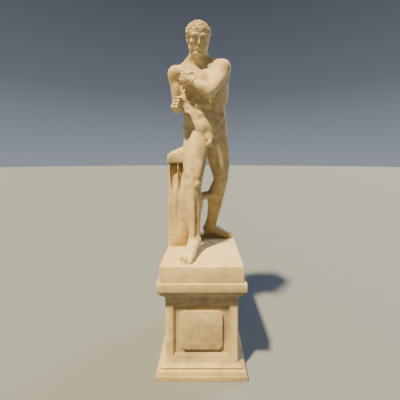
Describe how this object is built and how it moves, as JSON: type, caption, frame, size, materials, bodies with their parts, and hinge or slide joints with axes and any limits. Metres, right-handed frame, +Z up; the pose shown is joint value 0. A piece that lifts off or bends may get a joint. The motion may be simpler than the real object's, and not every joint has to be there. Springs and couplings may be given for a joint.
{
  "type": "travertine athlete statue on a pedestal",
  "caption": "Life-size travertine statue of a nude athlete with raised fists, a stump behind one leg, on a panelled stone pedestal.",
  "frame": {"origin": "middle of the pedestal's underside, on the floor it stands on", "axes": "+Z up, -Y the front that the figure and its advanced foot face, +X the figure's left"},
  "size_m": [0.607, 0.785, 2.5806],
  "materials": {
    "statue_stone": "honed warm travertine, softly weathered",
    "pedestal_stone": "honed banded travertine, matt"
  },
  "bodies": {
    "root": {"athlete_statue": "statue_stone", "pedestal_cap": "pedestal_stone", "pedestal_die": "pedestal_stone", "pedestal_base": "pedestal_stone"}
  },
  "joints": []
}
